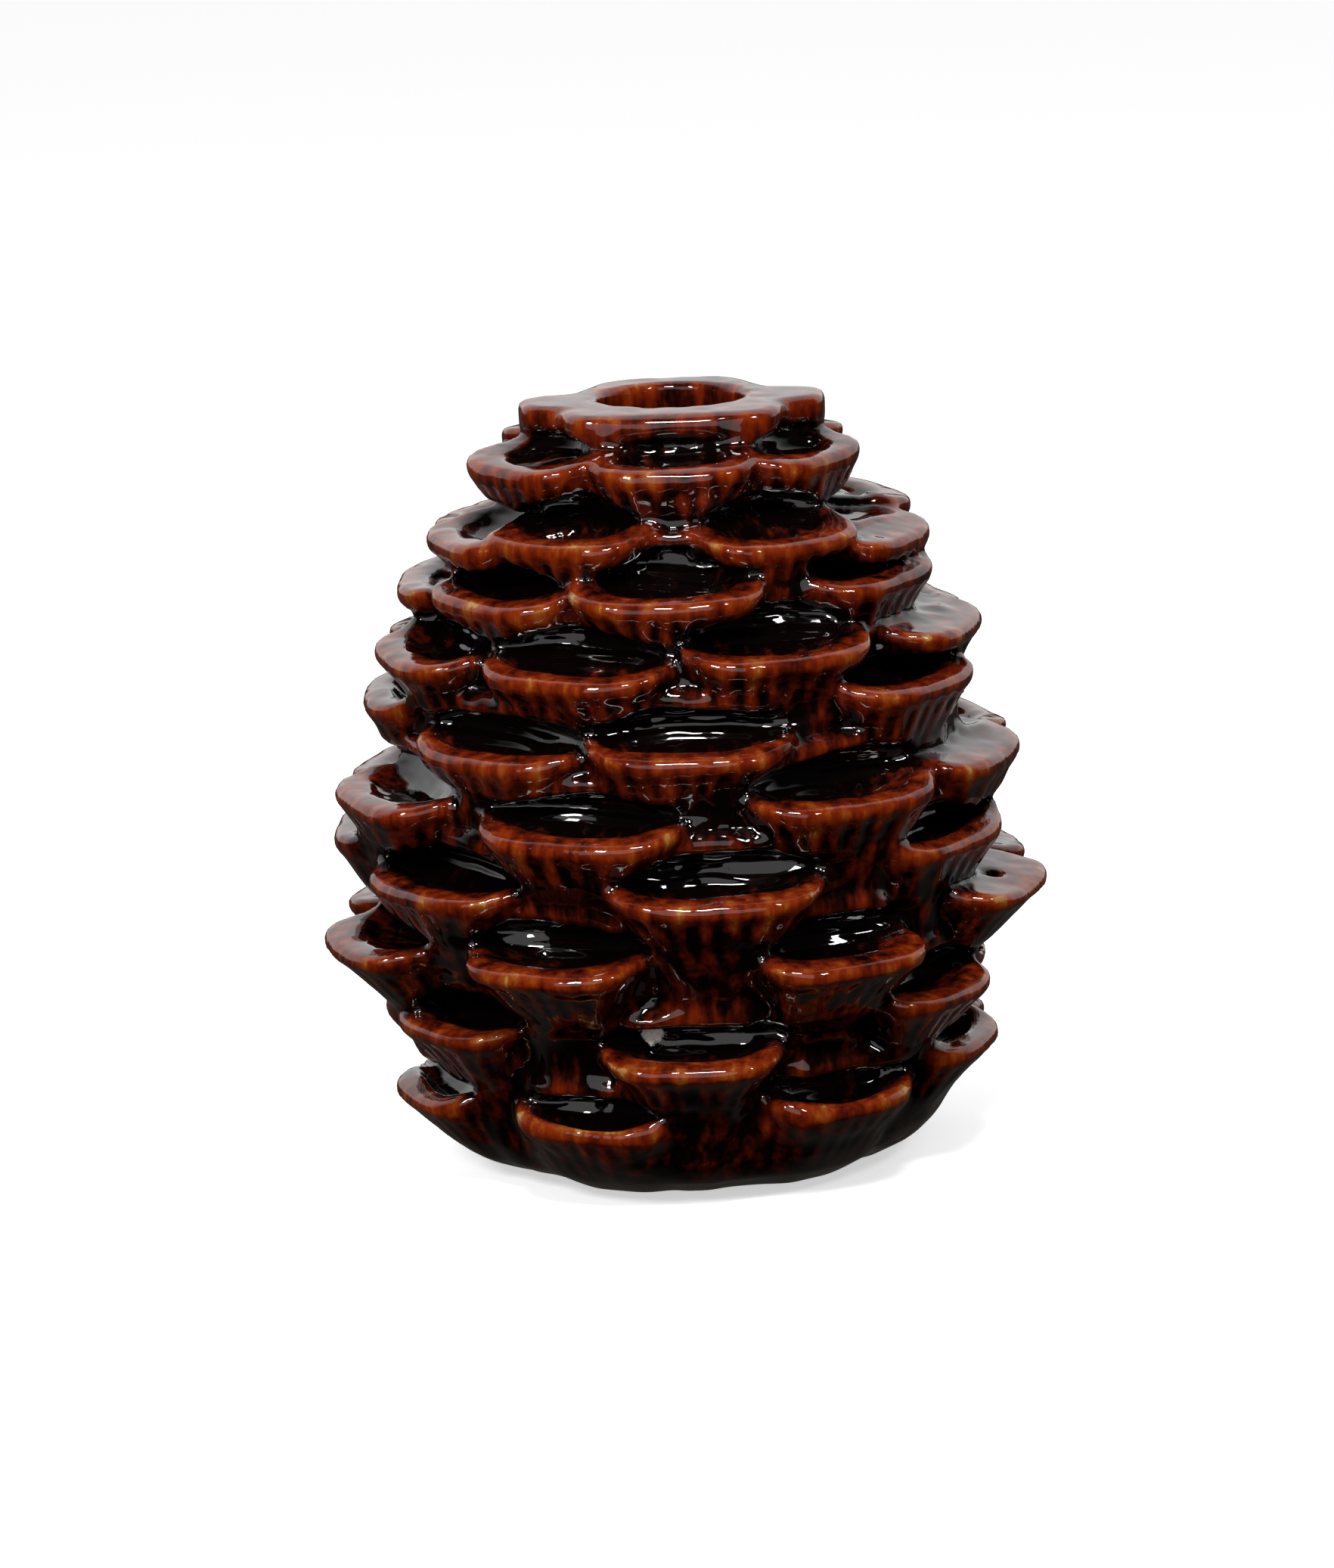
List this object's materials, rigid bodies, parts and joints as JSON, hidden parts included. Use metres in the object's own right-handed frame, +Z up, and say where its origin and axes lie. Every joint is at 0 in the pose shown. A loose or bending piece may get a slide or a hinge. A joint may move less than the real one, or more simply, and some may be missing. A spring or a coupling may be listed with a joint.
{
  "type": "pine cone candle holder",
  "caption": "Glazed stoneware taper-candle holder shaped like a pine cone, with overlapping spoon-shaped scales, a lobed crown round the candle cup and a flat foot.",
  "frame": {"origin": "middle of the foot's flat underside, where the holder stands on the table", "axes": "+Z up along the candle's axis, -Y towards the front, +X to the right seen from the front"},
  "size_m": [0.1092, 0.1084, 0.1184],
  "materials": {
    "glaze": "gloss",
    "bare_clay": "matte"
  },
  "bodies": {
    "root": {"candle_cup": "glaze", "crown": "glaze", "foot": "bare_clay", "hollow_body": "glaze", "scale_3_1": "glaze", "scale_3_2": "glaze", "scale_3_3": "glaze", "scale_3_4": "glaze", "scale_3_5": "glaze", "scale_3_6": "glaze", "scale_3_7": "glaze", "scale_3_8": "glaze", "scale_4_1": "glaze", "scale_4_2": "glaze", "scale_4_3": "glaze", "scale_4_4": "glaze", "scale_4_5": "glaze", "scale_4_6": "glaze", "scale_4_7": "glaze", "scale_4_8": "glaze", "scale_5_1": "glaze", "scale_5_2": "glaze", "scale_5_3": "glaze", "scale_5_4": "glaze", "scale_5_5": "glaze", "scale_5_6": "glaze", "scale_5_7": "glaze", "scale_5_8": "glaze", "scale_6_1": "glaze", "scale_6_2": "glaze", "scale_6_3": "glaze", "scale_6_4": "glaze", "scale_6_5": "glaze", "scale_6_6": "glaze", "scale_6_7": "glaze", "scale_6_8": "glaze", "scale_7_1": "glaze", "scale_7_2": "glaze", "scale_7_3": "glaze", "scale_7_4": "glaze", "scale_7_5": "glaze", "scale_7_6": "glaze", "scale_7_7": "glaze", "scale_7_8": "glaze", "scale_8_1": "glaze", "scale_8_2": "glaze", "scale_8_3": "glaze", "scale_8_4": "glaze", "scale_8_5": "glaze", "scale_8_6": "glaze", "scale_8_7": "glaze", "scale_8_8": "glaze", "scale_whorl_1": "glaze", "scale_whorl_10": "glaze", "scale_whorl_2": "glaze", "scale_whorl_9": "glaze"}
  },
  "joints": []
}
